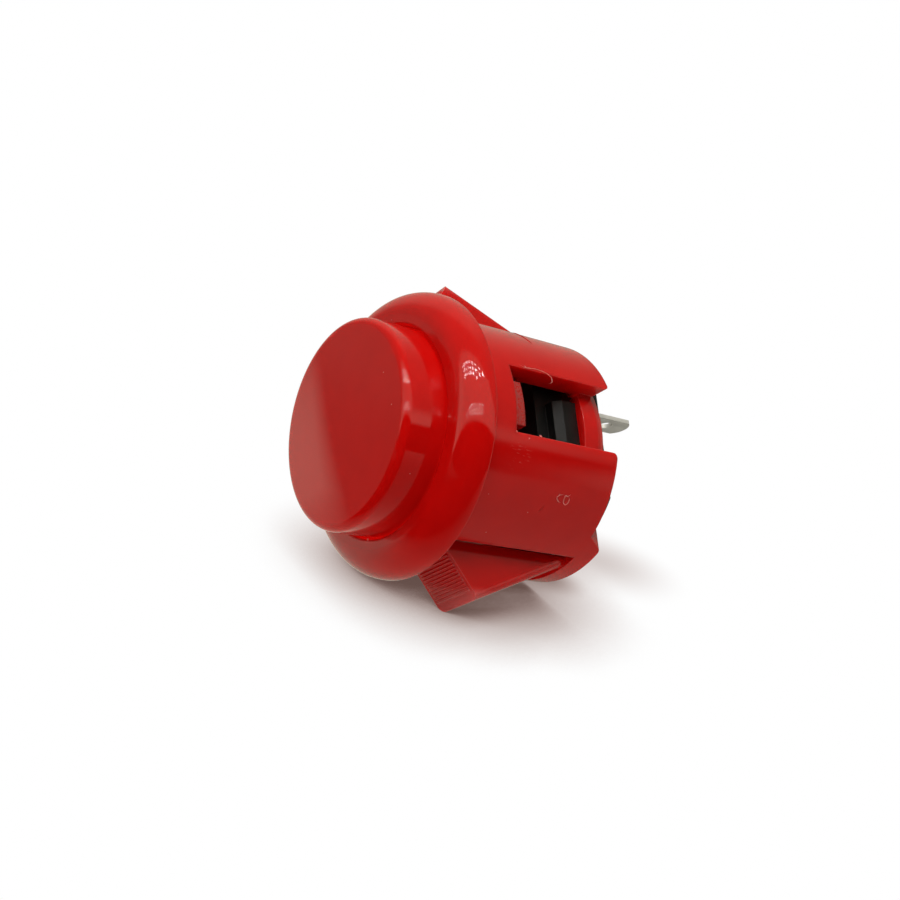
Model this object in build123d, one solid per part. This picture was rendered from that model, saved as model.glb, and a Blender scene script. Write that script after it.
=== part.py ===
from build123d import *
import math
import os

# Snap-in arcade push button, in millimetres.
# The origin is the centre of the rim's underside, where the panel seats.
# +Z points out of the panel towards the finger, the windows face +X and -X,
# and the snap tabs stand at +Y and -Y. Depths are counted down from the panel seat.

# Panel, rim and guide
panel_hole_d = 30.0      # hole that the barrel drops into
barrel_gap = 0.2         # room round the barrel in that hole
rim_overhang = 2.05      # reach of the rim past the barrel
rim_land = 0.3           # upright edge of the rim
rim_round = 3.2          # radius of the rim's dome
rim_lip = 0.35           # round at the mouth of the guide bore
guide_wall = 2.3         # barrel's wall round the plunger

# Barrel
barrel_len = 20.0
window_w = 8.1
window_front = 4.5       # depth of the window's front end
window_round = 0.7       # rounded rear corners of the window's walls
strap_h = 3.2            # strap across each window, level with the barrel's rear edge
strap_step = 0.7         # strap's inner face, inside the rear bore
strap_wall = 1.4
strap_foot = 1.1         # how far the strap runs on past each side of the window
strap_bevel = 0.35       # shallow bevel behind the strap's outer face
strap_bevel_h = 1.1
notch_w = 0.5            # relief notch at each front corner of the strap
notch_h = 0.6

# Snap tabs and the tongues that carry them
channel_w = 9.9          # opening in the barrel round each tab
channel_front = 0.6
tongue_wall = 2.1
tongue_w = 16.2          # at the barrel's rear edge
tongue_end_w = 13.2
tongue_round = 1.0
tab_w = 6.8
tab_seat = 2.3           # depth of the gripping face where it leaves the barrel's surface
tab_reach = 5.1          # tab's peak, beyond the barrel
tab_peak = 5.85          # depth of the peak
tab_inset = 1.4          # tab's inner face, below the barrel's surface
tab_tail = 0.5           # tab's root, below the barrel's surface
tab_wall = 1.3           # wall left round the hollow in the tab's back
tab_round = 1.0
tab_nose = 0.35
rib_count = 15           # gripping ribs across the sloped face
rib_pitch = 0.42
rib_h = 0.15
rib_start = 0.5
rib_side = 0.45          # plain border each side of the ribs

# Plunger
plunger_rise = 8.65      # edge of the pressing face above the panel seat
crown_h = 0.2
plunger_round = 0.9
plunger_wall = 1.6
plunger_roof = 1.8
guide_gap = 0.25         # running gap round the plunger
skirt_depth = 4.9
travel = 3.0
stop_gap = 0.1           # gap left at each end of the travel
hook_side = 1.4          # room in the window, each side of the hook
hook_h = 3.0
hook_round = 1.1         # rounded corners of the hook's free end
hook_reach = 1.35        # hook's step beyond the skirt
hook_lead = 0.9          # height of the lead-in slope under the hook
leg_wall = 1.4
slit_w = 0.8             # slits that let each hook's leg flex
slit_top = 0.5
post_d = 5.6
web_wall = 1.0           # crossed webs between the post and the skirt
web_drop = 3.0

# Switch block
cover_l = 19.4
cover_w = 11.6
cover_wall = 1.1
cover_roof = 1.2
cover_round = 1.2
cover_gap = 1.03         # room between the cover's corners and the rear bore
nub_side = 1.35          # room in the window, each side of the latch nub
nub_lap = 0.5            # nub's hold over the strap
nub_h = 2.95
nub_bevel = 0.85         # lead-in bevel at the front of the nub
nub_gap = 0.2            # latch nub above the strap
base_gap = 0.2           # base inside the tongues
base_lip = 0.15          # base past each end of the cover
base_h = 2.75
base_chamfer = 0.4
plinth_h = 0.4           # step on the base that centres the cover
plinth_gap = 0.1

# Actuator and return spring
pin_d = 5.0
pin_gap = 0.1
pin_chamfer = 0.5
pin_spare = 0.3          # pin left proud of the cover at full travel
press_gap = 0.06         # post above the pin at rest
collar_d = 6.8
collar_h = 1.0
collar_gap = 0.05
foot_w = 3.0             # foot that presses the leaf
foot_gap = 0.2
spigot_d = 3.0           # spigot on the actuator and boss on the base, inside the spring
spigot_h = 0.9
boss_h = 1.2
spring_room = 0.5        # between spigot and wire
spring_wire = 0.4
spring_sides = 8         # facets round the fine wire
spring_turns = 4
spring_gap = 0.02

# Terminals and contacts
blade_w = 3.5
blade_t = 0.5
blade_reach = 7.45       # blade behind the base
blade_sag = 0.9          # bow of the blade's rounded end
blade_round = 0.25
blade_gap = 0.45         # blade inside the cover's side wall
wire_hole_d = 1.7
wire_hole_back = 3.4     # hole's centre from the blade's end
shoulder_w = 0.4         # shoulder that seats on the base
shoulder_gap = 0.05      # shoulder inside the cover's end wall
slot_gap = 0.05
shelf_reach = 1.1        # folded shelf, inwards from the blade
shelf_gap = 0.17         # lower shelf above the plinth
shelf_edge = 0.8         # edge where the leaf turns, from the middle of the common blade
leaf_t = 0.2
leaf_w = 1.6
leaf_tail = 2.2          # leaf behind the edge that it turns on
leaf_nose = 1.2          # leaf past the moving contact
leaf_turn = 0.052        # radians at full travel
leaf_gap = 0.1           # least gap between foot and leaf at full travel
seat_gap = 0.02          # leaf above its shelf
contact_d = 1.6
contact_h = 0.45
contact_gap = 0.08       # left between the contacts at full travel
rivet_d = 0.8
rivet_head_d = 1.3
rivet_head_h = 0.4
rivet_gap = 0.15

# Worked-out sizes of the rim, barrel and plunger
barrel_r = panel_hole_d / 2 - barrel_gap
rim_r = barrel_r + rim_overhang
rim_h = rim_land + rim_round
guide_r = barrel_r - guide_wall
plunger_r = guide_r - guide_gap
ledge = skirt_depth + travel + stop_gap
tongue_r = barrel_r - tongue_wall
base_r = tongue_r - base_gap
base_rear = barrel_len + base_h
strap_front = barrel_len - strap_h
hook_w = window_w - 2 * hook_side
hook_front = window_front + stop_gap
hook_rear = hook_front + hook_h

# Worked-out sizes of the switch block, across
rear_bore_r = math.hypot(cover_l / 2 - cover_round, cover_w / 2 - cover_round) + cover_round + cover_gap
strap_in = rear_bore_r - strap_step
strap_r = strap_in + strap_wall
terminal_x = cover_l / 2 - cover_wall - shoulder_gap - shoulder_w - blade_w / 2
terminal_y = cover_w / 2 - cover_wall - blade_gap - blade_t / 2
leaf_y = terminal_y - shelf_reach / 2
leaf_pivot_x = shelf_edge - terminal_x
rivet_x = leaf_pivot_x - leaf_tail / 2
foot_y = cover_w / 2 - cover_wall - foot_gap
spring_r = spigot_d / 2 + spring_room + spring_wire / 2

# Worked-out depths of the switch block, stacked up from the barrel's rear edge
plinth_top = barrel_len - plinth_h
open_shelf = plinth_top - shelf_gap - blade_t
fixed_top = open_shelf - contact_h
contact_drop = leaf_turn * (terminal_x - leaf_pivot_x)
leaf_low = fixed_top - contact_gap - contact_drop - contact_h
leaf_top = leaf_low - leaf_t
common_shelf = leaf_low + seat_gap
foot_drop = leaf_turn * (-leaf_pivot_x - foot_w / 2)
collar_rear = leaf_top + foot_drop - leaf_gap - travel
collar_front = collar_rear - collar_h
cover_inside = collar_front - collar_gap
cover_front = cover_inside - cover_roof
pin_top = cover_front - travel - pin_spare
post_end = pin_top - press_gap
blade_end = base_rear + blade_reach

BASE = (Align.CENTER, Align.CENTER, Align.MIN)


def rod(radius, top, bottom):
    """Upright cylinder between two depths."""
    return Pos(0, 0, -bottom) * Cylinder(radius, bottom - top, align=BASE)


def ring(outer, inner, top, bottom):
    """Upright tube between two depths."""
    return rod(outer, top, bottom) - rod(inner, top, bottom)


def slab(x0, x1, y0, y1, top, bottom):
    """Box between two X values, two Y values and two depths."""
    centre = Pos((x0 + x1) / 2, (y0 + y1) / 2, -(top + bottom) / 2)
    return centre * Box(x1 - x0, y1 - y0, bottom - top)


def both_sides(shape):
    """The shape and its copy half a turn round the barrel."""
    return [shape, Rot(0, 0, 180) * shape]


def rim_and_barrel():
    """Domed rim, barrel with its stepped bore, and a collar for the tongues, turned in one."""
    dome = CenterArc((rim_r - rim_round, rim_h - rim_round), rim_round, 0, 90)
    lip = CenterArc((guide_r + rim_lip, rim_h - rim_lip), rim_lip, 90, 90)
    wall = Polyline(
        lip @ 1,
        (guide_r, -ledge),
        (rear_bore_r, -ledge),
        (rear_bore_r, -barrel_len),
        (tongue_r, -barrel_len),
        (tongue_r, -base_rear),
        (barrel_r, -base_rear),
        (barrel_r, 0),
        (rim_r, 0),
        dome @ 0,
    )
    crest = Line(dome @ 1, lip @ 0)
    profile = make_face(Plane.XZ * (wall + dome + crest + lip))
    return revolve(profile, Axis.Z)


def tongue_trim():
    """Everything behind the barrel's rear edge, less the two tapered tongues."""
    side = tongue_w / 2
    end = tongue_end_w / 2
    outline = Polyline(
        (-side, -barrel_len), (-end, -base_rear), (end, -base_rear), (side, -barrel_len), close=True
    )
    face = make_face(outline)
    corners = face.vertices().sort_by(Axis.Y)[:2]
    tongue = extrude(Plane.XZ * fillet(corners, tongue_round), barrel_r * 2, both=True)
    behind = slab(-rim_r, rim_r, -rim_r, rim_r, barrel_len, base_rear + base_h)
    return behind - tongue


def window_cut():
    """One window: a parallel slot, open at the barrel's rear, with rounded rear corners."""
    half = window_w / 2
    slot = slab(0, rim_r, -half, half, window_front, base_rear)
    flare = slab(0, rim_r, -half - window_round, half + window_round,
                 barrel_len - window_round, barrel_len)
    for side in (-1, 1):
        corner = Pos(rim_r / 2, side * (half + window_round), -barrel_len + window_round)
        flare -= corner * Rot(0, 90, 0) * Cylinder(window_round, rim_r)
    return slot + flare


def strap():
    """Bridge across one window that the switch's latch nub hooks over."""
    half = window_w / 2 + strap_foot
    outline = Polyline(
        (strap_in, -strap_front),
        (strap_r, -strap_front),
        (strap_r, -barrel_len + strap_bevel_h),
        (strap_r - strap_bevel, -barrel_len),
        (strap_in, -barrel_len),
        close=True,
    )
    band = revolve(Plane.XZ * make_face(outline), Axis.Z)
    band &= slab(0, rim_r, -half, half, strap_front, barrel_len)
    edge = window_w / 2
    for y in (-edge, edge - notch_w):
        band -= slab(0, rim_r, y, y + notch_w, strap_front, strap_front + notch_h)
    return band


def channel_cut():
    """Opening in the barrel's wall round one snap tab."""
    half = channel_w / 2
    return slab(-half, half, 0, rim_r, channel_front, barrel_len)


def snap_tab():
    """One cantilever tab: ribbed gripping face, long ramp, hollow back, rooted in the tongue."""
    inner = barrel_r - tab_inset
    tail = barrel_r - tab_tail
    peak = barrel_r + tab_reach
    slope = (tab_peak - tab_seat) / tab_reach
    stretch = math.hypot(1, slope)
    ramp_run = barrel_len - tab_peak
    ramp_slope = (peak - tail) / ramp_run
    root = barrel_len + base_h / 2

    def face_depth(y):
        return tab_seat + (y - barrel_r) * slope

    def along(s, proud):
        y = inner + s / stretch
        return (y + proud * slope / stretch, -face_depth(y) + proud / stretch)

    outline = make_face(Polyline(
        (inner, -root),
        (inner, -face_depth(inner)),
        (peak, -tab_peak),
        (tail, -barrel_len),
        (tail, -root),
        close=True,
    ))
    outline = fillet(outline.vertices().sort_by(Axis.X)[-1], tab_nose)
    tab = extrude(Plane.YZ * outline, tab_w / 2, both=True)

    # A bar with two round corners, laid along the ramp, rounds the tab's long edges.
    ramp = Plane((0, peak, -tab_peak), x_dir=(1, 0, 0), z_dir=(0, tail - peak, -ramp_run))
    section = Rectangle(tab_w, 2 * peak, align=(Align.CENTER, Align.MIN))
    section = fillet(section.vertices().sort_by(Axis.Y)[:2], tab_round)
    tab &= extrude(ramp * section, 2 * barrel_len, both=True)

    # The hollow is a triangle, one wall in from the gripping face and from the ramp.
    front = tab_wall * stretch
    behind = tab_wall * math.hypot(1, ramp_slope)
    mouth = inner - tab_wall

    def ramp_depth(y):
        return tab_peak + (peak - behind - y) / ramp_slope

    tip_y = (tab_peak + (peak - behind) / ramp_slope - tab_seat - front + barrel_r * slope)
    tip_y /= slope + 1 / ramp_slope
    hollow = Polyline(
        (mouth, -face_depth(mouth) - front), (tip_y, -ramp_depth(tip_y)), (mouth, -ramp_depth(mouth)),
        close=True,
    )
    core = extrude(Plane.YZ * make_face(hollow), tab_w / 2 - tab_wall, both=True)

    # The ribs are a row of teeth, sunk a rib's height into the gripping face.
    teeth = [along(rib_start, -rib_h)]
    for i in range(rib_count):
        s = rib_start + i * rib_pitch
        teeth += [along(s, 0), along(s + rib_pitch / 2, rib_h)]
    rib_end = rib_start + rib_count * rib_pitch
    teeth += [along(rib_end, 0), along(rib_end, -rib_h)]
    ribs = extrude(Plane.YZ * make_face(Polyline(*teeth, close=True)), tab_w / 2 - rib_side, both=True)
    return tab - core + ribs


def housing():
    """The red moulding that snaps into the panel."""
    body = rim_and_barrel() - tongue_trim()
    for cut in both_sides(window_cut()) + both_sides(channel_cut()):
        body -= cut
    for piece in both_sides(strap()) + both_sides(snap_tab()):
        body += piece
    return body


def cap_shell():
    """Crowned face and skirt of the plunger, turned in one."""
    roof = plunger_rise - plunger_roof
    inner = plunger_r - plunger_wall
    middle = (0, plunger_rise + crown_h)
    edge = (plunger_r, plunger_rise)
    crown = TangentArc(middle, edge, tangent=(1, 0))
    wall = Polyline(
        edge, (plunger_r, -skirt_depth), (inner, -skirt_depth), (inner, roof), (0, roof), middle
    )
    profile = make_face(crown + wall)
    corner = profile.vertices().sort_by_distance(edge)[0]
    return revolve(Plane.XZ * fillet(corner, plunger_round), Axis.Z)


def plunger():
    """The red cap: crowned face, skirt with two sprung hooks, and the post that presses the pin."""
    cap = cap_shell()
    roof = plunger_rise - plunger_roof
    cap += rod(post_d / 2, -roof, post_end)
    inner = plunger_r - plunger_wall
    web = slab(-inner, inner, -web_wall / 2, web_wall / 2, -roof, -roof + web_drop)
    for turn in (45, 135):
        cap += Rot(0, 0, turn) * web

    half = hook_w / 2
    leg = ring(plunger_r, plunger_r - leg_wall, 0, hook_rear)
    hook = ring(plunger_r + hook_reach, plunger_r - leg_wall, hook_front, hook_rear)
    lead_edge = hook.edges().filter_by(GeomType.CIRCLE).group_by(Axis.Z)[0].sort_by(SortBy.LENGTH)[-1]
    hook = chamfer(lead_edge, hook_lead)
    front_view = Rectangle(hook_w, hook_rear, align=(Align.CENTER, Align.MAX))
    front_view = fillet(front_view.vertices().sort_by(Axis.Y)[:2], hook_round)
    sector = extrude(Plane.YZ * front_view, rim_r)
    slit = slab(0, plunger_r + hook_reach, half, half + slit_w, slit_top, skirt_depth)
    for shape in both_sides(slit) + both_sides(mirror(slit, Plane.XZ)):
        cap -= shape
    for shape in both_sides((leg + hook) & sector):
        cap += shape
    return cap


def switch_cover():
    """Black block over the contacts, with a latch nub at each window."""
    half_l = cover_l / 2
    half_w = cover_w / 2
    block = slab(-half_l, half_l, -half_w, half_w, cover_front, barrel_len)
    block = fillet(block.edges().filter_by(Axis.Z), cover_round)
    nub_rear = strap_front - nub_gap
    nub_tip = strap_in + nub_lap
    nub_face = Polyline(
        (half_l - cover_wall, -nub_rear + nub_h),
        (nub_tip - nub_bevel, -nub_rear + nub_h),
        (nub_tip, -nub_rear + nub_h - nub_bevel),
        (nub_tip, -nub_rear),
        (half_l - cover_wall, -nub_rear),
        close=True,
    )
    nub = extrude(Plane.XZ * make_face(nub_face), window_w / 2 - nub_side, both=True)
    for piece in both_sides(nub):
        block += piece
    block -= slab(-half_l + cover_wall, half_l - cover_wall, -half_w + cover_wall, half_w - cover_wall,
                  cover_inside, barrel_len)
    return block - rod(pin_d / 2 + pin_gap, cover_front, cover_inside)


def switch_base():
    """Black disc with two flats that closes the barrel and carries the terminals."""
    disc = rod(base_r, barrel_len, base_rear)
    flat = cover_l / 2 + base_lip
    disc &= slab(-flat, flat, -base_r, base_r, barrel_len, base_rear)
    disc = chamfer(disc.faces().sort_by(Axis.Z)[0].edges(), base_chamfer)
    inset = cover_wall + plinth_gap
    disc += slab(-cover_l / 2 + inset, cover_l / 2 - inset, -cover_w / 2 + inset, cover_w / 2 - inset,
                 plinth_top, barrel_len)
    disc += rod(spigot_d / 2, barrel_len - boss_h, barrel_len)
    half = blade_w / 2 + slot_gap
    for side in (-1, 1):
        disc -= slab(side * terminal_x - half, side * terminal_x + half,
                     terminal_y - blade_t / 2 - slot_gap, terminal_y + blade_t / 2 + slot_gap,
                     plinth_top, base_rear)
    return disc


def switch_actuator():
    """Pin that the plunger presses, with a collar under the cover and a foot over the leaf."""
    pin = rod(pin_d / 2, pin_top, collar_rear)
    pin = chamfer(pin.edges().group_by(Axis.Z)[-1], pin_chamfer)
    pin += rod(collar_d / 2, collar_front, collar_rear)
    pin += slab(-foot_w / 2, foot_w / 2, 0, foot_y, collar_front, collar_rear)
    return pin + rod(spigot_d / 2, collar_rear, collar_rear + spigot_h)


def return_spring():
    """Coil spring between the actuator's collar and the base's plinth."""
    low = plinth_top - spring_gap - spring_wire / 2
    high = collar_rear + spring_gap + spring_wire / 2
    coil = Helix((low - high) / spring_turns, low - high, spring_r)
    start = Plane(coil @ 0, z_dir=coil % 0)
    wire = RegularPolygon(spring_wire / 2, spring_sides)
    return Pos(0, 0, -low) * sweep(start * wire, coil, is_frenet=True)


def terminal(x, shelf, neck_left, neck_right):
    """Stamped terminal: holed blade with a bowed end, and a neck folded inwards into a shelf."""
    half = blade_w / 2
    corner = -blade_end + blade_sag
    end = ThreePointArc((-half, corner), (0, -blade_end), (half, corner))
    sides = Polyline(
        (half, corner),
        (half, -plinth_top),
        (neck_right - x, -plinth_top),
        (neck_right - x, -shelf),
        (neck_left - x, -shelf),
        (neck_left - x, -plinth_top),
        (-half, -plinth_top),
        (-half, corner),
    )
    face = make_face(end + sides)
    tips = [v for v in face.vertices() if abs(v.Y - corner) < blade_round / 2]
    face = fillet(tips, blade_round)
    face -= Pos(0, -blade_end + wire_hole_back) * Circle(wire_hole_d / 2)
    blade = Pos(x, terminal_y, 0) * extrude(Plane.XZ * face, blade_t / 2, both=True)
    inner = terminal_y - blade_t / 2 - shelf_reach
    return blade + slab(neck_left, neck_right, inner, terminal_y + blade_t / 2, shelf, shelf + blade_t)


def common_terminal():
    """Terminal that carries the leaf, pierced for its rivet."""
    left = -terminal_x - blade_w / 2 - shoulder_w
    body = terminal(-terminal_x, common_shelf, left, leaf_pivot_x)
    return body - Pos(rivet_x, leaf_y, 0) * rod(rivet_d / 2 + seat_gap, common_shelf, common_shelf + blade_t)


def normally_open_terminal():
    """Terminal whose shelf carries the fixed contact."""
    left = terminal_x - blade_w / 2 - shoulder_w
    right = terminal_x + blade_w / 2 + shoulder_w
    return terminal(terminal_x, open_shelf, left, right)


def contact_leaf():
    """Bronze leaf with a round nose, pierced for its rivet."""
    nose = terminal_x + leaf_nose - leaf_w / 2
    leaf = slab(leaf_pivot_x - leaf_tail, nose, leaf_y - leaf_w / 2, leaf_y + leaf_w / 2, leaf_top, leaf_low)
    leaf += Pos(nose, leaf_y, 0) * rod(leaf_w / 2, leaf_top, leaf_low)
    return leaf - Pos(rivet_x, leaf_y, 0) * rod(rivet_d / 2 + rivet_gap, leaf_top, leaf_low)


def moving_contact():
    """Contact button under the leaf's free end."""
    return Pos(terminal_x, leaf_y, 0) * rod(contact_d / 2, leaf_low, leaf_low + contact_h)


def fixed_contact():
    """Contact button on the normally open terminal's shelf."""
    return Pos(terminal_x, leaf_y, 0) * rod(contact_d / 2, fixed_top, open_shelf)


def leaf_rivet():
    """Rivet that keeps the leaf on the common terminal's shelf."""
    head_low = leaf_top - rivet_gap
    shank = rod(rivet_d / 2, head_low, common_shelf + blade_t)
    return Pos(rivet_x, leaf_y, 0) * (shank + rod(rivet_head_d / 2, head_low - rivet_head_h, head_low))


pieces = {
    "housing": housing,
    "plunger": plunger,
    "switch_cover": switch_cover,
    "switch_base": switch_base,
    "switch_actuator": switch_actuator,
    "return_spring": return_spring,
    "common_terminal": common_terminal,
    "normally_open_terminal": normally_open_terminal,
    "contact_leaf": contact_leaf,
    "moving_contact": moving_contact,
    "fixed_contact": fixed_contact,
    "leaf_rivet": leaf_rivet,
}

os.makedirs("parts", exist_ok=True)
for name, make in pieces.items():
    export_step(make(), f"parts/{name}.step")
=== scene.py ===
import math

import bpy
import numpy as np
from mathutils import Matrix, Vector


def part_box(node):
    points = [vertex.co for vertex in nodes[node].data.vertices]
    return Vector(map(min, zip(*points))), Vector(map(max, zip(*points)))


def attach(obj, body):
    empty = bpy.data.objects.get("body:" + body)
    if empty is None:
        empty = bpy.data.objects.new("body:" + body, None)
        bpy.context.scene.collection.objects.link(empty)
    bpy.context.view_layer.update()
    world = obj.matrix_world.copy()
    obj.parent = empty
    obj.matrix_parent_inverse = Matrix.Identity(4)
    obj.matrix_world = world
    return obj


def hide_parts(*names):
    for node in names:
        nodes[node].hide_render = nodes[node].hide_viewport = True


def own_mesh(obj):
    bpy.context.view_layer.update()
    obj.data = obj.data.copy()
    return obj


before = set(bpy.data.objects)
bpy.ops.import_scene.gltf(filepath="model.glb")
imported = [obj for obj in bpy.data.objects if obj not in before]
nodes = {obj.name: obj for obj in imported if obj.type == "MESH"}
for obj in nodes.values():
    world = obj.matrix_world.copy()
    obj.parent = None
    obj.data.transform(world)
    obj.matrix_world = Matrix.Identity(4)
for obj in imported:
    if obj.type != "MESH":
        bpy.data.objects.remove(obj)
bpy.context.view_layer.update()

mm = 0.001
print("frame loaded:", len(nodes), "nodes")


# The camera and the floor

cameraView = {
    "place": (111.541, -56.833, 84.593),   # mm
    "right": (0.604, -0.086, -0.792),
    "up": (0.338, 0.927, 0.1575),
    "lens": 52.0,
    "sensor": 36.0,
    "clip": (0.005, 20.0),                 # m
}
floorPlane = {
    "up": (0.681, 0.725, 0.102),   # the button lies on its rim, one snap tab and the barrel's rear edge
    "size": 900.0,                 # mm
    "matt": 0.50,                  # share of the light on it that the floor gives back
    "bounce": 0.27,                # light that it gives back even in the shadow
}


def unit(vector):
    return Vector(vector).normalized()


floorUp = unit(floorPlane["up"])
cameraPlace = Vector(cameraView["place"]) * mm
floorFront = unit(cameraPlace - floorUp * cameraPlace.dot(floorUp))   # along the floor, towards the camera
floorRight = floorUp.cross(floorFront)


def lowestReach(objects, direction):
    # the smallest dot product of any vertex with the direction
    reach = []
    for item in objects:
        points = np.empty(len(item.data.vertices) * 3)
        item.data.vertices.foreach_get("co", points)
        reach.append((points.reshape(-1, 3) @ np.array(direction)).min())
    return min(reach)


floorOrigin = floorUp * lowestReach(nodes.values(), floorUp)


def overFloor(front, right, height):
    # a point given in mm along the floor's own directions
    return floorOrigin + (floorFront * front + floorRight * right + floorUp * height) * mm


def addCamera():
    data = bpy.data.cameras.new("camera")
    data.lens = cameraView["lens"]
    data.sensor_width = cameraView["sensor"]
    data.clip_start, data.clip_end = cameraView["clip"]
    camera = bpy.data.objects.new("camera", data)
    bpy.context.scene.collection.objects.link(camera)
    up = unit(cameraView["up"])
    right = unit(Vector(cameraView["right"]) - up * up.dot(Vector(cameraView["right"])))
    back = right.cross(up)
    turn = Matrix((right, up, back)).transposed().to_4x4()
    camera.matrix_world = Matrix.Translation(cameraPlace) @ turn
    bpy.context.scene.camera = camera


def meshPiece(name, points, faces, smooth=True):
    mesh = bpy.data.meshes.new(name)
    mesh.from_pydata(np.asarray(points, float).tolist(), [], [list(map(int, face)) for face in faces])
    mesh.polygons.foreach_set("use_smooth", np.full(len(mesh.polygons), smooth))
    mesh.update()
    piece = bpy.data.objects.new(name, mesh)
    bpy.context.scene.collection.objects.link(piece)
    return piece


# Small helpers for shader trees

def addNode(tree, kind, settings=None, **values):
    # values are socket names with _ for a space; a socket is linked, anything else is set
    node = tree.nodes.new(kind)
    for key, value in (settings or {}).items():
        setattr(node, key, value)
    for key, value in values.items():
        plug(tree, value, node.inputs[key.replace("_", " ")])
    return node


def plug(tree, value, target):
    if isinstance(value, bpy.types.NodeSocket):
        tree.links.new(value, target)
    else:
        target.default_value = value


def doMath(tree, operation, *values, clamp=False):
    node = addNode(tree, "ShaderNodeMath", {"operation": operation, "use_clamp": clamp})
    for value, target in zip(values, node.inputs):
        plug(tree, value, target)
    return node.outputs[0]


def remap(tree, value, low, high, toLow=0.0, toHigh=1.0, smooth=True):
    kind = "SMOOTHSTEP" if smooth else "LINEAR"
    node = addNode(tree, "ShaderNodeMapRange", {"interpolation_type": kind},
                   Value=value, From_Min=low, From_Max=high, To_Min=toLow, To_Max=toHigh)
    return node.outputs["Result"]


def mixColor(tree, factor, first, second):
    node = addNode(tree, "ShaderNodeMix", {"data_type": "RGBA"})
    for value, index in ((factor, 0), (first, 6), (second, 7)):
        plug(tree, value, node.inputs[index])
    return node.outputs[2]


def mixShader(tree, factor, first, second):
    node = addNode(tree, "ShaderNodeMixShader", Fac=factor)
    plug(tree, first.outputs[0], node.inputs[1])
    plug(tree, second.outputs[0], node.inputs[2])
    return node


def dotWith(tree, vector, direction):
    node = addNode(tree, "ShaderNodeVectorMath", {"operation": "DOT_PRODUCT"})
    plug(tree, vector, node.inputs[0])
    node.inputs[1].default_value = tuple(direction)
    return node.outputs["Value"]


def awayFrom(tree, vector, place):
    node = addNode(tree, "ShaderNodeVectorMath", {"operation": "DISTANCE"})
    plug(tree, vector, node.inputs[0])
    node.inputs[1].default_value = tuple(place)
    return node.outputs["Value"]


def newTree(name):
    material = bpy.data.materials.new(name)
    material.use_nodes = True
    material.node_tree.nodes.clear()
    return material, material.node_tree


def grey(level):
    return (level, level, level, 1.0)


# Floor, world and lights

roomLight = {
    "ambient": 0.10,                  # all round, on matt surfaces
    "keyLevel": 1.12,                 # softbox, as a share of white
    "keyWay": (0.22, -0.10, 0.95),    # front, right, up
    "keyAway": 340.0,                 # mm
    "keySize": 260.0,
    "tint": (1.0, 0.97, 0.80, 1.0),   # warm colour of everything that is seen in reflections
}
floorShadow = {
    "reach": 17.0,                 # mm, how far off the button still shades the floor
    "samples": 24,
    "lean": (0.1, -0.6),           # front and right, where the soft light comes from
    "openness": (0.20, 0.88),      # how open the darkest floor and the white floor are
    "darkest": 0.075,
    "tint": (0.80, 1.0, 1.06),     # powers of the grey in each colour, since the shade is reddish
    "fadeCentre": (0.0, 2.0),      # mm front and right
    "fade": (30.0, 52.0),          # mm from there, where the shadow runs out to white
    # deeper shade behind the barrel and beside the tab: mm front, mm right, mm reach and share
    "deepSpots": [(-24.0, 30.0, 14.0, 0.40), (-12.0, 23.0, 6.0, 0.55)],
}
floorMirrored = {
    "bend": (-7.0, -45.0),                    # mm front and right, where the edge of the bright paper bends
    "slopes": (0.66, 0.45),                   # slope of that edge left and right of the bend
    "blur": (-45.0, -10.0, 3.0, 12.0),        # two places in mm right, and the width of the edge at each
    "paper": (-13.0, 16.0, 0.86, 0.26),       # two places in mm right, and the brightness at each
    "paperLeft": (-50.0, -170.0, 0.86, 0.45),
    "room": (1.0, 10.0, 0.18, 0.0),           # the same in mm front
    "roomLeft": (-70.0, -220.0, 0.0, 0.10),
}


def distanceAlong(tree, place, direction):
    # mm from the floor's origin
    start = floorOrigin.dot(direction) / mm
    return doMath(tree, "SUBTRACT", dotWith(tree, place, direction / mm), start)


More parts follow.
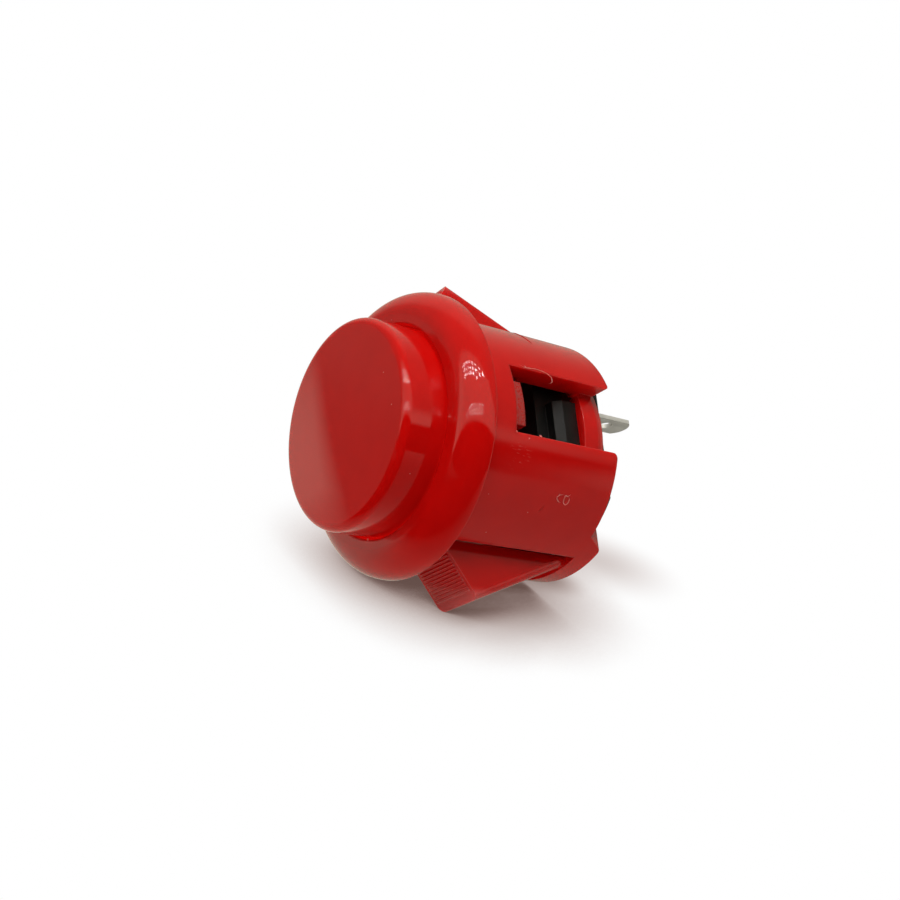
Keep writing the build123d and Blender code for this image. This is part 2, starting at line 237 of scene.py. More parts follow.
def floorFinish():
    material, tree = newTree("white_floor")
    geometry = addNode(tree, "ShaderNodeNewGeometry")
    path = addNode(tree, "ShaderNodeLightPath").outputs
    place = geometry.outputs["Position"]
    front = distanceAlong(tree, place, floorFront)
    right = distanceAlong(tree, place, floorRight)

    # the camera sees white paper that darkens where the button closes it in
    leanFront, leanRight = floorShadow["lean"]
    lean = unit(floorUp + floorFront * leanFront + floorRight * leanRight)
    towards = addNode(tree, "ShaderNodeCombineXYZ", X=lean.x, Y=lean.y, Z=lean.z)
    openness = addNode(tree, "ShaderNodeAmbientOcclusion", {"samples": floorShadow["samples"]},
                       Distance=floorShadow["reach"] * mm, Normal=towards.outputs[0])
    low, high = floorShadow["openness"]
    lit = remap(tree, openness.outputs["AO"], low, high, floorShadow["darkest"], 1.0, smooth=False)
    for spotFront, spotRight, reach, deepShare in floorShadow["deepSpots"]:
        deep = awayFrom(tree, place, overFloor(spotFront, spotRight, 0.0))
        lit = doMath(tree, "MULTIPLY", lit, remap(tree, deep, 0.0, reach * mm, 1.0 - deepShare, 1.0))
    away = awayFrom(tree, place, overFloor(*floorShadow["fadeCentre"], 0.0))
    white = doMath(tree, "MAXIMUM", lit, remap(tree, away, *(far * mm for far in floorShadow["fade"])))
    warm = [doMath(tree, "POWER", white, power) for power in floorShadow["tint"]]
    tinted = addNode(tree, "ShaderNodeCombineColor", Red=warm[0], Green=warm[1], Blue=warm[2])
    seen = addNode(tree, "ShaderNodeEmission", Color=tinted.outputs[0], Strength=1.0)

    # reflections see bright paper behind a bent edge, and a dark room in front of it
    edgeFront, bend = floorMirrored["bend"]
    along = doMath(tree, "SUBTRACT", right, bend)
    edges = [doMath(tree, "MULTIPLY_ADD", along, slope, edgeFront) for slope in floorMirrored["slopes"]]
    inside = doMath(tree, "SUBTRACT", doMath(tree, "MINIMUM", *edges), front)
    blur = remap(tree, right, *floorMirrored["blur"])
    share = doMath(tree, "MULTIPLY_ADD", doMath(tree, "DIVIDE", inside, blur), 0.5, 0.5, clamp=True)
    paper = doMath(tree, "MINIMUM", remap(tree, right, *floorMirrored["paper"]),
                   remap(tree, right, *floorMirrored["paperLeft"]))
    room = doMath(tree, "ADD", remap(tree, front, *floorMirrored["room"]),
                  remap(tree, right, *floorMirrored["roomLeft"]))
    level = doMath(tree, "MULTIPLY_ADD", share, doMath(tree, "SUBTRACT", paper, room), room)
    mirrored = addNode(tree, "ShaderNodeEmission", Color=roomLight["tint"], Strength=level)

    # everything else is lit by plain white paper
    bounce = addNode(tree, "ShaderNodeEmission", Color=grey(1.0), Strength=floorPlane["bounce"])
    matt = addNode(tree, "ShaderNodeBsdfDiffuse", Color=grey(floorPlane["matt"]))
    lighting = addNode(tree, "ShaderNodeAddShader")
    plug(tree, matt.outputs[0], lighting.inputs[0])
    plug(tree, bounce.outputs[0], lighting.inputs[1])
    top = mixShader(tree, path["Is Glossy Ray"], lighting, mirrored)
    top = mixShader(tree, path["Is Camera Ray"], top, seen)
    through = addNode(tree, "ShaderNodeBsdfTransparent")
    both = mixShader(tree, geometry.outputs["Backfacing"], top, through)
    addNode(tree, "ShaderNodeOutputMaterial", Surface=both.outputs[0])
    return material


def addFloor():
    half = floorPlane["size"] / 2
    signs = np.array([(-1, -1), (1, -1), (1, 1), (-1, 1)]) * half
    points = [overFloor(front, right, 0.0) for right, front in signs]
    floor = meshPiece("floor", points, [(3, 2, 1, 0)], smooth=False)
    if floor.data.polygons[0].normal.dot(floorUp) < 0:
        floor.data.flip_normals()
    floor.data.materials.append(floorFinish())


lightBox = {
    "edgeSlope": (0.74, 0.20),        # front and right slope of the edge that the box is open under
    "edgeBlur": (-0.05, 0.03),
    "backSlope": 0.45,
    "backBlur": (-0.62, -0.85),       # where the back wall begins
    "backDims": (0.0, 0.42),          # where it gets dimmer to the right
    "ceilingBlur": (0.09, 0.20),      # where the ceiling begins
    "lampBlur": (-0.78, -0.92),
    "glowBlur": (0.96, 0.98),
    "backWall": 0.46,                 # brightness seen in reflections, from here on
    "sideWall": 0.22,
    "ceiling": 0.76,
    "leftLamp": 0.18,
    "rightGlow": 0.55,
    "opening": 0.004,
}


def addWorld():
    world = bpy.data.worlds.new("room")
    bpy.context.scene.world = world
    world.use_nodes = True
    tree = world.node_tree
    tree.nodes.clear()
    path = addNode(tree, "ShaderNodeLightPath").outputs
    heading = addNode(tree, "ShaderNodeTexCoord").outputs["Generated"]
    front = dotWith(tree, heading, floorFront)
    right = dotWith(tree, heading, floorRight)
    slopeFront, slopeRight = lightBox["edgeSlope"]
    aboveEdge = dotWith(tree, heading, floorUp - floorFront * slopeFront - floorRight * slopeRight)

    # a light box, open in front under a slanting edge; its back wall is dimmer to the right
    closed = remap(tree, aboveEdge, *lightBox["edgeBlur"])
    towardsBack = dotWith(tree, heading, floorFront - floorUp * lightBox["backSlope"])
    behind = remap(tree, towardsBack, *lightBox["backBlur"])
    ahead = remap(tree, front, *lightBox["ceilingBlur"])
    overSide = lightBox["ceiling"] - lightBox["sideWall"]
    backLevel = remap(tree, right, *lightBox["backDims"], lightBox["backWall"] - lightBox["sideWall"], 0.0)
    frontLevel = remap(tree, right, *lightBox["lampBlur"], overSide, overSide + lightBox["leftLamp"])
    level = doMath(tree, "MULTIPLY_ADD", behind, backLevel, lightBox["sideWall"])
    level = doMath(tree, "MULTIPLY_ADD", ahead, frontLevel, level)
    mirrored = doMath(tree, "MULTIPLY_ADD", level, closed, lightBox["opening"])
    glow = remap(tree, right, *lightBox["glowBlur"], 0.0, lightBox["rightGlow"])
    mirrored = doMath(tree, "ADD", mirrored, glow)

    matt = addNode(tree, "ShaderNodeBackground", Color=grey(1.0), Strength=roomLight["ambient"])
    gloss = addNode(tree, "ShaderNodeBackground", Color=roomLight["tint"], Strength=mirrored)
    white = addNode(tree, "ShaderNodeBackground", Color=grey(1.0), Strength=1.0)
    lit = mixShader(tree, path["Is Glossy Ray"], matt, gloss)
    plain = doMath(tree, "MAXIMUM", path["Is Camera Ray"], path["Is Transmission Ray"])
    seen = mixShader(tree, plain, lit, white)
    addNode(tree, "ShaderNodeOutputWorld", Surface=seen.outputs[0])


def addSoftbox():
    data = bpy.data.lights.new("softbox", "AREA")
    data.shape = "SQUARE"
    data.size = roomLight["keySize"] * mm
    away = roomLight["keyAway"] * mm
    data.energy = roomLight["keyLevel"] * math.pi ** 2 * away ** 2
    light = bpy.data.objects.new("softbox", data)
    bpy.context.scene.collection.objects.link(light)
    front, right, up = roomLight["keyWay"]
    way = unit(floorFront * front + floorRight * right + floorUp * up)
    turn = way.to_track_quat("Z", "Y").to_matrix().to_4x4()
    light.matrix_world = Matrix.Translation(way * away) @ turn
    light.visible_glossy = False
    light.visible_camera = False


ledBars = {
    "height": 250.0,                   # mm above the floor
    "fronts": (87.0, 245.0),           # distance of each bar towards the camera
    "rowGaps": (17.0, 25.0),
    "rows": 3,
    "slants": (0.12, 0.31),            # how far each bar comes nearer towards the left
    "lefts": (-290.0, -380.0),         # left and right end of each bar
    "rights": (55.0, 80.0),
    "dots": 9,                         # in a row
    "dotSize": (6.0, 13.0),
    "strength": 32.0,
}


def addLedBars():
    # every dot is a small rectangle under the ceiling, on a grid of rows and dots for each bar
    dots = np.linspace(ledBars["lefts"], ledBars["rights"], ledBars["dots"], axis=1)[:, None, :]
    rows = np.arange(ledBars["rows"]) - (ledBars["rows"] - 1) / 2
    lines = np.array(ledBars["fronts"])[:, None] + rows * np.array(ledBars["rowGaps"])[:, None]
    slants = np.array(ledBars["slants"])[:, None, None]
    centres = np.stack(np.broadcast_arrays(lines[:, :, None] - slants * dots, dots), axis=-1)
    corners = np.array([(-1, -1), (-1, 1), (1, 1), (1, -1)]) / 2 * np.array(ledBars["dotSize"])
    flat = (centres.reshape(-1, 1, 2) + corners).reshape(-1, 2)
    axes = np.array([floorFront, floorRight])
    points = flat @ axes * mm + np.array(floorOrigin + floorUp * ledBars["height"] * mm)
    faces = np.arange(len(points)).reshape(-1, 4)
    piece = meshPiece("led_bars", points, faces, smooth=False)
    material, tree = newTree("led_light")
    glow = addNode(tree, "ShaderNodeEmission", Color=grey(1.0), Strength=ledBars["strength"])
    addNode(tree, "ShaderNodeOutputMaterial", Surface=glow.outputs[0])
    piece.data.materials.append(material)
    piece.visible_camera = False
    piece.visible_diffuse = False
    piece.visible_shadow = False


addCamera()
addFloor()
addWorld()
addSoftbox()
addLedBars()
print("stage ready")


# Finishes

mouldGrain = {
    "fineShare": 0.35,          # height of the grain, against the waves
    "smudge": (0.25, 0.75),
    "speckScale": 4.0,          # against the waves
    "speckRare": 0.965,         # share of the cells that hold no speck
    "speckSize": (0.11, 0.05),
}
edgeMask = {
    "samples": 8,
    "agree": (0.99, 0.86),      # how well both normals agree where an edge begins and where it is full
}


def newGroup(name, takes, gives):
    # the sockets are given as names with their types
    group = bpy.data.node_groups.new(name, "ShaderNodeTree")
    for side, sockets in (("INPUT", takes), ("OUTPUT", gives)):
        for socket, kind in sockets.items():
            group.interface.new_socket(socket, in_out=side, socket_type="NodeSocket" + kind)
    return group, addNode(group, "NodeGroupInput").outputs, addNode(group, "NodeGroupOutput").inputs


def mouldSkinGroup():
    # fine grain and slow waves of a moulded surface, as a height, a smudge mask and a mask of specks
    takes = {"Coords": "Vector", "Grain Scale": "Float", "Wave Scale": "Float"}
    gives = {"Height": "Float", "Smudge": "Float", "Specks": "Float"}
    group, take, give = newGroup("mould_skin", takes, gives)
    coords = take["Coords"]
    grain = addNode(group, "ShaderNodeTexNoise", Vector=coords, Scale=take["Grain Scale"], Detail=3.0)
    wave = addNode(group, "ShaderNodeTexNoise", Vector=coords, Scale=take["Wave Scale"], Detail=2.0)
    fine = doMath(group, "MULTIPLY", grain.outputs[0], mouldGrain["fineShare"])
    plug(group, doMath(group, "ADD", fine, wave.outputs[0]), give["Height"])
    plug(group, remap(group, wave.outputs[0], *mouldGrain["smudge"]), give["Smudge"])
    # a few dust specks: small balls in rare cells
    cells = addNode(group, "ShaderNodeTexVoronoi", Vector=coords,
                    Scale=doMath(group, "MULTIPLY", take["Wave Scale"], mouldGrain["speckScale"]))
    pick = addNode(group, "ShaderNodeSeparateColor", Color=cells.outputs["Color"])
    rare = doMath(group, "GREATER_THAN", pick.outputs[0], mouldGrain["speckRare"])
    small = remap(group, cells.outputs["Distance"], *mouldGrain["speckSize"])
    plug(group, doMath(group, "MULTIPLY", rare, small), give["Specks"])
    return group


def edgeRoundGroup():
    # normals rounded over sharp edges, and a mask of how near an edge is
    group, take, give = newGroup("edge_round", {"Radius": "Float"}, {"Normal": "Vector", "Edge": "Float"})
    bevel = addNode(group, "ShaderNodeBevel", {"samples": edgeMask["samples"]}, Radius=take["Radius"])
    soft = bevel.outputs[0]
    flat = addNode(group, "ShaderNodeNewGeometry").outputs["Normal"]
    agree = addNode(group, "ShaderNodeVectorMath", {"operation": "DOT_PRODUCT"})
    plug(group, soft, agree.inputs[0])
    plug(group, flat, agree.inputs[1])
    edge = remap(group, agree.outputs["Value"], *edgeMask["agree"])
    rounded = addNode(group, "ShaderNodeMix", {"data_type": "VECTOR"})
    for value, index in ((edge, 0), (flat, 4), (soft, 5)):
        plug(group, value, rounded.inputs[index])
    plug(group, rounded.outputs[1], give["Normal"])
    plug(group, edge, give["Edge"])
    return group


mouldSkin = mouldSkinGroup()
edgeRound = edgeRoundGroup()

redFinish = {
    "deep": (0.585, 0.0030, 0.0022),
    "fresh": (0.615, 0.0036, 0.0027),
    "pale": (0.80, 0.42, 0.38),        # worn plastic, and the painted reflection of the floor on the tabs' edges and tips
    "frostedAndShaded": (0.27, 0.050, 0.042),   # the plunger's hooks: frosted, and darker as painted shade inside the windows
    "tornAndHighlit": (1.0, 0.19, 0.16),         # flash hair, torn gate and chips: whitened torn plastic, brightened as a painted highlight
    "gloss": 0.02,                     # roughness of the rim and plunger
    "satin": 0.13,                     # roughness of the barrel and tabs
    "glossEnd": (0.3, -0.3),           # mm, the height where gloss turns to satin
    "smudgeRough": 0.015,
    "wornRough": 0.5,
    "speckShare": 0.35,
    "grain": 5200.0,
    "wave": 260.0,
    "bump": 0.05,
    "edgeRadius": 0.18,                # mm
    "paintedGlow": (0.17, 0.0012, 0.0008),   # painted glow: red light emitted in narrow gaps, lifting their shade
    "paintedGlowReach": 1.2,               # mm
    "paintedGlowSamples": 6,
    "paintedGlowRange": (0.45, 0.05),      # how open a gap is where the painted glow begins and where it is full
    "scatter": 0.55,
    "scatterRadius": (1.0, 0.2, 0.15),
    "scatterScale": 2.5,               # mm
}
bumpDepth = 0.02 * mm
# places of wear, and of painted light: the tabs' reflection of the floor, the hooks' shade and the marks'
# highlight
wearAndLightPlaces = {
    "scuff": (13.4, -6.3, -5.4),       # mm, scuffed patch on the barrel under the window
    "scuffSize": 2.2,
    "scratchStretch": (1.0, 1.6, 0.5),
    "scratchTurn": (0.5, 0.0, 0.0),
    "scratchScale": 2600.0,
    "scratches": (0.56, 0.74, 0.0, 0.25),
    "strapRear": (-19.2, -19.7),       # mm, where the rough bevel and rear edge of the straps begin
    "strapOut": 12.75,                 # mm from the axis
    "strapShare": 0.08,
    "hookOut": 12.45,                  # mm from the axis, the plunger's hooks are frosted and painted darker beyond this
    "frostScale": 3800.0,
    "frost": (0.40, 0.70, 0.45, 0.85),
    "tornAndHighlitScale": 3000.0,
    "tornAndHighlit": (0.35, 0.62, 0.55, 0.95),
    "tabTip": (18.3, 19.7),            # mm from the middle, where the tabs turn pale as a painted reflection of the floor
    "tabTipShare": 0.18,
    "tabEdges": (15.0, 15.6),          # mm from the middle, where edges turn paler: wear, and on the tabs a painted highlight
    "edgeShares": (0.05, 0.15),
}


def scaled(values):
    # mm as the scene's metres
    return [value * mm for value in values]


def splitCoords(tree, coords):
    return addNode(tree, "ShaderNodeSeparateXYZ", Vector=coords).outputs


def fromAxis(tree, axes):
    # distance from the button's axis
    squares = [doMath(tree, "POWER", axes[name], 2.0) for name in "XY"]
    return doMath(tree, "POWER", doMath(tree, "ADD", *squares), 0.5)


def housingWearAndSheen(tree, coords):
    # scratches in a soft patch, tab tips paled as a painted reflection of the floor, and the rough rear of
    # the straps
    axes = splitCoords(tree, coords)
    scuff = awayFrom(tree, coords, scaled(wearAndLightPlaces["scuff"]))
    near = remap(tree, scuff, wearAndLightPlaces["scuffSize"] * mm, 0.0)
    streak = addNode(tree, "ShaderNodeMapping", Vector=coords, Scale=wearAndLightPlaces["scratchStretch"],
                     Rotation=wearAndLightPlaces["scratchTurn"])
    lines = addNode(tree, "ShaderNodeTexNoise", Vector=streak.outputs[0], Scale=wearAndLightPlaces["scratchScale"],
                    Detail=4.0)
    scratch = doMath(tree, "MULTIPLY", remap(tree, lines.outputs[0], *wearAndLightPlaces["scratches"]), near)
    rear = remap(tree, axes["Z"], *scaled(wearAndLightPlaces["strapRear"]))
    within = doMath(tree, "LESS_THAN", fromAxis(tree, axes), wearAndLightPlaces["strapOut"] * mm)
    strap = doMath(tree, "MULTIPLY", doMath(tree, "MULTIPLY", rear, within), wearAndLightPlaces["strapShare"])
    # painted reflection: the tabs' lower tips are paler, as if mirroring the white floor
    tip = remap(tree, doMath(tree, "ABSOLUTE", axes["Y"]), *scaled(wearAndLightPlaces["tabTip"]),
                0.0, wearAndLightPlaces["tabTipShare"])
    return doMath(tree, "MAXIMUM", doMath(tree, "MAXIMUM", scratch, tip), strap)


def plungerFrostAndShade(tree, coords):
    # the hooks stand out beyond the skirt; they are frosted with a coarse grain and painted darker as shade
    # in the windows
    out = fromAxis(tree, splitCoords(tree, coords))
    hook = doMath(tree, "GREATER_THAN", out, wearAndLightPlaces["hookOut"] * mm)
    frost = addNode(tree, "ShaderNodeTexNoise", Vector=coords, Scale=wearAndLightPlaces["frostScale"], Detail=3.0)
    return doMath(tree, "MULTIPLY", hook, remap(tree, frost.outputs[0], *wearAndLightPlaces["frost"]))


def markWearAndHighlight(tree, coords):
    # torn plastic is paler in places, and the paleness is partly a painted highlight
    tornAndHighlit = addNode(tree, "ShaderNodeTexNoise", Vector=coords, Scale=wearAndLightPlaces["tornAndHighlitScale"], Detail=2.0)
    return remap(tree, tornAndHighlit.outputs[0], *wearAndLightPlaces["tornAndHighlit"])


def skinOf(tree, coords, finish):
    return addNode(tree, "ShaderNodeGroup", {"node_tree": mouldSkin},
                   Coords=coords, Grain_Scale=finish["grain"], Wave_Scale=finish["wave"]).outputs


def edgesOf(tree, finish):
    return addNode(tree, "ShaderNodeGroup", {"node_tree": edgeRound},
                   Radius=finish["edgeRadius"] * mm).outputs


def redPlastic(name, rearRough, wearAndLightMask, wearAndLightColor):
    material, tree = newTree(name)
    coords = addNode(tree, "ShaderNodeTexCoord").outputs["Object"]
    skin = skinOf(tree, coords, redFinish)
    edge = edgesOf(tree, redFinish)
    # this mask holds wear and painted light: reflection on the tab tips, shade on the hooks, highlight on
    # the marks
    wearAndLight = wearAndLightMask(tree, coords)
    axes = splitCoords(tree, coords)
    rough = remap(tree, axes["Z"], *scaled(redFinish["glossEnd"]), redFinish["gloss"], rearRough)
    rough = doMath(tree, "MULTIPLY_ADD", skin["Smudge"], redFinish["smudgeRough"], rough)
    rough = doMath(tree, "MULTIPLY_ADD", wearAndLight, redFinish["wornRough"], rough)
    # edges pale with wear, more on the tabs, where the paleness is also a painted highlight of the floor
    edgeWearAndSheen = remap(tree, doMath(tree, "ABSOLUTE", axes["Y"]), *scaled(wearAndLightPlaces["tabEdges"]),
                   *wearAndLightPlaces["edgeShares"])
    pale = doMath(tree, "MULTIPLY", edge["Edge"], edgeWearAndSheen)
    pale = doMath(tree, "MULTIPLY_ADD", skin["Specks"], redFinish["speckShare"], pale, clamp=True)
    color = mixColor(tree, skin["Smudge"], redFinish["deep"] + (1.0,), redFinish["fresh"] + (1.0,))
    color = mixColor(tree, pale, color, redFinish["pale"] + (1.0,))
    color = mixColor(tree, wearAndLight, color, wearAndLightColor + (1.0,))
    bump = addNode(tree, "ShaderNodeBump", Strength=redFinish["bump"], Distance=bumpDepth,
                   Height=skin["Height"], Normal=edge["Normal"])
    # painted glow: narrow gaps emit red light, standing in for the light that their shade takes away
    shut = addNode(tree, "ShaderNodeAmbientOcclusion", {"samples": redFinish["paintedGlowSamples"]},
                   Distance=redFinish["paintedGlowReach"] * mm)
    paintedGlow = remap(tree, shut.outputs["AO"], *redFinish["paintedGlowRange"])
    glow = mixColor(tree, paintedGlow, grey(0.0), redFinish["paintedGlow"] + (1.0,))
    shader = addNode(tree, "ShaderNodeBsdfPrincipled", Base_Color=color, Roughness=rough,
                     Normal=bump.outputs[0], Emission_Color=glow, Emission_Strength=1.0,
                     Subsurface_Weight=redFinish["scatter"], Subsurface_Radius=redFinish["scatterRadius"],
                     Subsurface_Scale=redFinish["scatterScale"] * mm)
    addNode(tree, "ShaderNodeOutputMaterial", Surface=shader.outputs[0])
    return material


blackFinish = {
    "shade": (0.0035, 0.006),
    "rough": (0.34, 0.46),
    "grain": 6000.0,
    "wave": 500.0,
    "bump": 0.2,
    "edgeRadius": 0.12,            # mm
    "reflects": 0.3,
}


def blackPlastic():
    material, tree = newTree("black_plastic")
    coords = addNode(tree, "ShaderNodeTexCoord").outputs["Object"]
    skin = skinOf(tree, coords, blackFinish)
    edge = edgesOf(tree, blackFinish)
    rough = remap(tree, skin["Smudge"], 0.0, 1.0, *blackFinish["rough"], smooth=False)
    color = mixColor(tree, skin["Smudge"], *map(grey, blackFinish["shade"]))
    bump = addNode(tree, "ShaderNodeBump", Strength=blackFinish["bump"], Distance=bumpDepth,
                   Height=skin["Height"], Normal=edge["Normal"])
    shader = addNode(tree, "ShaderNodeBsdfPrincipled", Base_Color=color, Roughness=rough,
                     Normal=bump.outputs[0], Specular_IOR_Level=blackFinish["reflects"])
    addNode(tree, "ShaderNodeOutputMaterial", Surface=shader.outputs[0])
    return material


stripMetal = {
    "drawn": (1.0, 1.0, 0.06),     # the grain is drawn out along the button's axis
    "grain": 9000.0,
    "wave": 1400.0,
    "bump": 0.15,
}


def sheetMetal(name, dull, bright, roughness, metallic=1.0):
    material, tree = newTree(name)
    coords = addNode(tree, "ShaderNodeTexCoord").outputs["Object"]
    drawn = addNode(tree, "ShaderNodeMapping", Vector=coords, Scale=stripMetal["drawn"])
    skin = skinOf(tree, drawn.outputs[0], stripMetal)
    rough = remap(tree, skin["Smudge"], 0.0, 1.0, *roughness, smooth=False)
    color = mixColor(tree, skin["Smudge"], dull + (1.0,), bright + (1.0,))
    bump = addNode(tree, "ShaderNodeBump", Strength=stripMetal["bump"], Distance=bumpDepth,
                   Height=skin["Height"])
    shader = addNode(tree, "ShaderNodeBsdfPrincipled", Base_Color=color, Roughness=rough, Metallic=metallic,
                     Normal=bump.outputs[0])
    addNode(tree, "ShaderNodeOutputMaterial", Surface=shader.outputs[0])
    return material


finishes = {
    "housing": redPlastic("housing_red", redFinish["satin"], housingWearAndSheen, redFinish["pale"]),
    "plunger": redPlastic("plunger_red", redFinish["gloss"], plungerFrostAndShade, redFinish["frostedAndShaded"]),
    "mark": redPlastic("torn_red_highlit", redFinish["satin"], markWearAndHighlight, redFinish["tornAndHighlit"]),
    "black": blackPlastic(),
    "tin": sheetMetal("terminal_tin", (0.70, 0.68, 0.60), (0.80, 0.78, 0.70), (0.40, 0.55), 0.4),
    "steel": sheetMetal("spring_steel", (0.42, 0.42, 0.42), (0.55, 0.55, 0.55), (0.25, 0.38)),
    "bronze": sheetMetal("leaf_bronze", (0.62, 0.40, 0.22), (0.72, 0.50, 0.30), (0.26, 0.40)),
    "silver": sheetMetal("contact_silver", (0.74, 0.73, 0.70), (0.85, 0.84, 0.81), (0.22, 0.35)),
}
nodeFinish = {
    "housing": "housing",
    "plunger": "plunger",
    "switch_cover": "black",
    "switch_base": "black",
    "switch_actuator": "black",
    "return_spring": "steel",
    "common_terminal": "tin",
    "normally_open_terminal": "tin",
    "contact_leaf": "bronze",
    "moving_contact": "silver",
    "fixed_contact": "silver",
    "leaf_rivet": "bronze",
}
for nodeName, finish in nodeFinish.items():
    for slot in nodes[nodeName].material_slots:
        slot.material = finishes[finish]
print("finishes on", len(nodeFinish), "nodes")


# Pieces added to the CAD model

def onBarrel(azimuth, z, radius):
    # mm; azimuth in degrees about the button's axis, from +X towards +Y
    turn = np.radians(azimuth)
    return np.stack(np.broadcast_arrays(radius * np.cos(turn), radius * np.sin(turn), z), axis=-1)


def ringFaces(rings, sides):
    # quads between rings of points, and a closing face at each end
    start = np.arange(rings - 1)[:, None] * sides
    step = np.arange(sides)
    turned = (step + 1) % sides
    quads = np.stack([start + step, start + turned, start + sides + turned, start + sides + step], axis=-1)
    caps = [step[::-1].tolist(), ((rings - 1) * sides + step).tolist()]
    return quads.reshape(-1, 4).tolist() + caps


def radialTube(path, radii, sides):
    # rings round a path, each set out along the direction away from the button's axis and across the path
    path = np.asarray(path, float)
    ahead = np.gradient(path, axis=0)
    out = path * (1.0, 1.0, 0.0)
    out /= np.linalg.norm(out, axis=1, keepdims=True)
    across = np.cross(ahead, out)
    across /= np.linalg.norm(across, axis=1, keepdims=True)
    turn = np.linspace(0.0, 2 * np.pi, sides, endpoint=False)
    ring = np.cos(turn)[:, None] * out[:, None] + np.sin(turn)[:, None] * across[:, None]
    points = path[:, None] + ring * np.broadcast_to(radii, len(path))[:, None, None]
    return points.reshape(-1, 3), ringFaces(len(path), sides)


def smoothPath(points, count, reach=3):
    # evenly spaced points along the corners, then a running average over some points on each side
    points = np.asarray(points, float)
    far = np.concatenate([[0.0], np.cumsum(np.linalg.norm(np.diff(points, axis=0), axis=1))])
    even = np.linspace(0.0, far[-1], count)
    path = np.stack([np.interp(even, far, column) for column in points.T], axis=1)
    padded = np.pad(path, ((reach, reach), (0, 0)), mode="edge")
    window = 2 * reach + 1
    return sum(padded[shift:shift + count] for shift in range(window)) / window


def joined(parts):
    # several point and face lists as one
    points, faces, count = [], [], 0
    for some, theirs in parts:
        points.append(some)
        faces += [[index + count for index in face] for face in theirs]
        count += len(some)
    return np.concatenate(points), faces


def addPiece(name, parts, finish, body):
    points, faces = joined(parts)
    piece = meshPiece(name, points * mm, faces)
    piece.data.materials.append(finish)
    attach(piece, body)
    return piece


mouldMarks = {
    "barrel": 14.8,      # mm, radius of the surface that the marks stand on
    "sides": 8,
    "raised": 0.35,      # share of its radius that a thread's middle stands out of the barrel
    "taper": (6.0, 0.15),   # how fast a thread swells from its ends, and its share of the radius there
    # threads: azimuth in degrees and z in mm
    "hair": [(17.4, -6.17), (16.4, -6.86), (16.9, -7.83), (17.2, -8.75), (16.9, -9.56), (16.2, -10.20),
             (14.4, -10.71), (12.0, -10.58), (10.5, -10.16), (10.6, -9.85)],
    "hairRadius": 0.055,
    "hairRings": 120,    # rings of points along the thread
    "seam": [(38.5, -11.0), (47.0, -11.1), (56.5, -11.2)],
    "seamRadius": 0.05,
    "seamRings": 60,
    "scratch": [(-48.6, -10.45), (-44.8, -10.97)],
    "scratchRadius": 0.03,
    "scratchRings": 60,
    "scar": [[(-38.5, -13.1), (-39.0, -12.5), (-40.1, -12.2), (-41.2, -12.3), (-42.2, -12.7),
              (-42.6, -13.1)],
             [(-37.8, -14.1), (-39.3, -13.7), (-38.6, -13.4), (-39.2, -13.3), (-40.6, -13.3),
              (-42.3, -13.4), (-43.2, -13.8), (-42.0, -14.1), (-40.1, -14.1), (-38.9, -13.8)]],
    "scarRadius": 0.06,
    "scarRings": 90,
    # chips: azimuth, z, distance from the axis and size
    "chips": [(-15.7, -8.05, 14.74, 0.15), (-15.8, -4.56, 14.74, 0.13), (16.9, -6.97, 14.78, 0.13),
              (-17.6, -6.4, 14.77, 0.10), (229.0, 3.45, 12.5, 0.13), (252.0, 3.45, 12.5, 0.11)],
    "chipRings": 8,
    "chipSides": 14,
    "chipTilt": 1.45,              # how near the poles the rings go, as an angle
    "chipSwell": (0.25, 0.2),      # height of the waves round it and up it, as a share of the size
    "chipWaves": (3, 4),           # how many there are in a full turn
}


def markTube(line, corners):
    # a thread that tapers at both ends, partly sunk in the barrel
    radius, count = mouldMarks[line + "Radius"], mouldMarks[line + "Rings"]
    azimuth, z = smoothPath(corners, count).T
    share = np.linspace(0.0, 1.0, count)
    pace, thinnest = mouldMarks["taper"]
    radii = radius * np.clip(pace * np.minimum(share, 1.0 - share), thinnest, 1.0)
    path = onBarrel(azimuth, z, mouldMarks["barrel"] + mouldMarks["raised"] * radius)
    return radialTube(path, radii, mouldMarks["sides"])


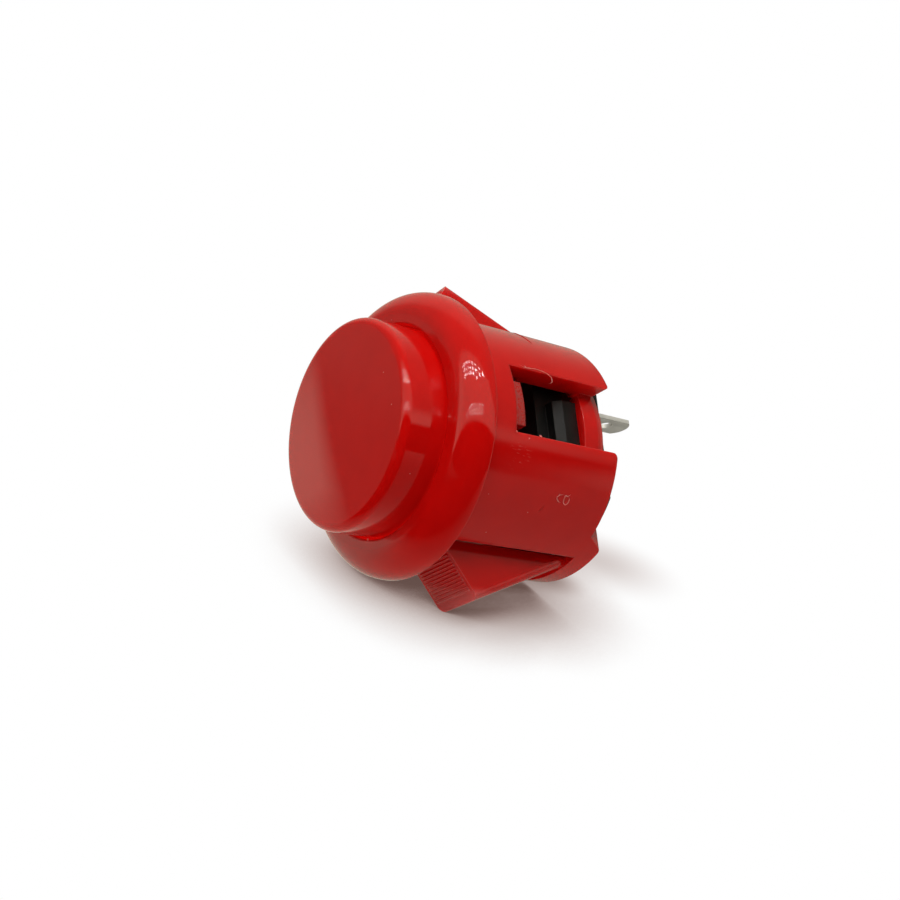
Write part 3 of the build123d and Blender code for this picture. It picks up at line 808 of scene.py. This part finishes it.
def chip(azimuth, z, radius, size):
    # a ragged blob: a ball of latitude and longitude rows whose radius swells in waves
    rings, sides, tilted = (mouldMarks[key] for key in ("chipRings", "chipSides", "chipTilt"))
    turn, tilt = np.meshgrid(np.linspace(0, 2 * np.pi, sides, endpoint=False),
                             np.linspace(-tilted, tilted, rings))
    swellRound, swellUp = mouldMarks["chipSwell"]
    wavesRound, wavesUp = mouldMarks["chipWaves"]
    swell = 1 + swellRound * np.sin(wavesRound * turn + azimuth) + swellUp * np.sin(wavesUp * tilt + z)
    ball = np.stack([np.cos(tilt) * np.cos(turn), np.cos(tilt) * np.sin(turn), np.sin(tilt)], axis=-1)
    points = (size * swell[..., None] * ball).reshape(-1, 3) + onBarrel(azimuth, z, radius)
    return points, ringFaces(rings, sides)


def addMarks():
    hair = [markTube("hair", mouldMarks["hair"])]
    lines = [markTube(line, mouldMarks[line]) for line in ("seam", "scratch")]
    scar = [markTube("scar", corners) for corners in mouldMarks["scar"]]
    chips = [chip(*place) for place in mouldMarks["chips"]]
    addPiece("flash_hair", hair, finishes["mark"], "housing")
    addPiece("mould_lines", lines, finishes["housing"], "housing")
    addPiece("gate_scar", scar, finishes["mark"], "housing")
    addPiece("edge_chips", chips, finishes["mark"], "housing")


coilSpring = {
    "turns": 4.0,
    "radius": 2.2,        # mm, middle of the wire
    "wire": 0.2,          # mm, radius of the wire
    "sides": 10,
    "turnRings": 40,      # rings of points in one turn
    "endRise": 1.6,       # wire radii, the middle of the wire after the flat half turn
    "fixedEnd": -19.6,    # mm, the height of the end that stays
    "travel": 3.0,
}


def addSpring():
    # a helix of even turns, with a flat half turn at each end
    low, high = (corner.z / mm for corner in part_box("return_spring"))
    wire = coilSpring["wire"]
    turns = coilSpring["turns"]
    rise = coilSpring["endRise"] * wire
    share = np.linspace(0.0, turns, int(turns * coilSpring["turnRings"]) + 1)
    z = np.interp(share, [0.0, 0.5, turns - 0.5, turns], [low + wire, low + rise, high - rise, high - wire])
    path = onBarrel(share * 360.0, z, coilSpring["radius"])
    tube = radialTube(path, wire, coilSpring["sides"])
    coil = addPiece("spring_coil", [tube], finishes["steel"], "housing")
    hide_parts("return_spring")
    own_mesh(coil)


addMarks()
addSpring()
print("marks and spring added")


bpy.context.scene.view_settings.view_transform = "Standard"
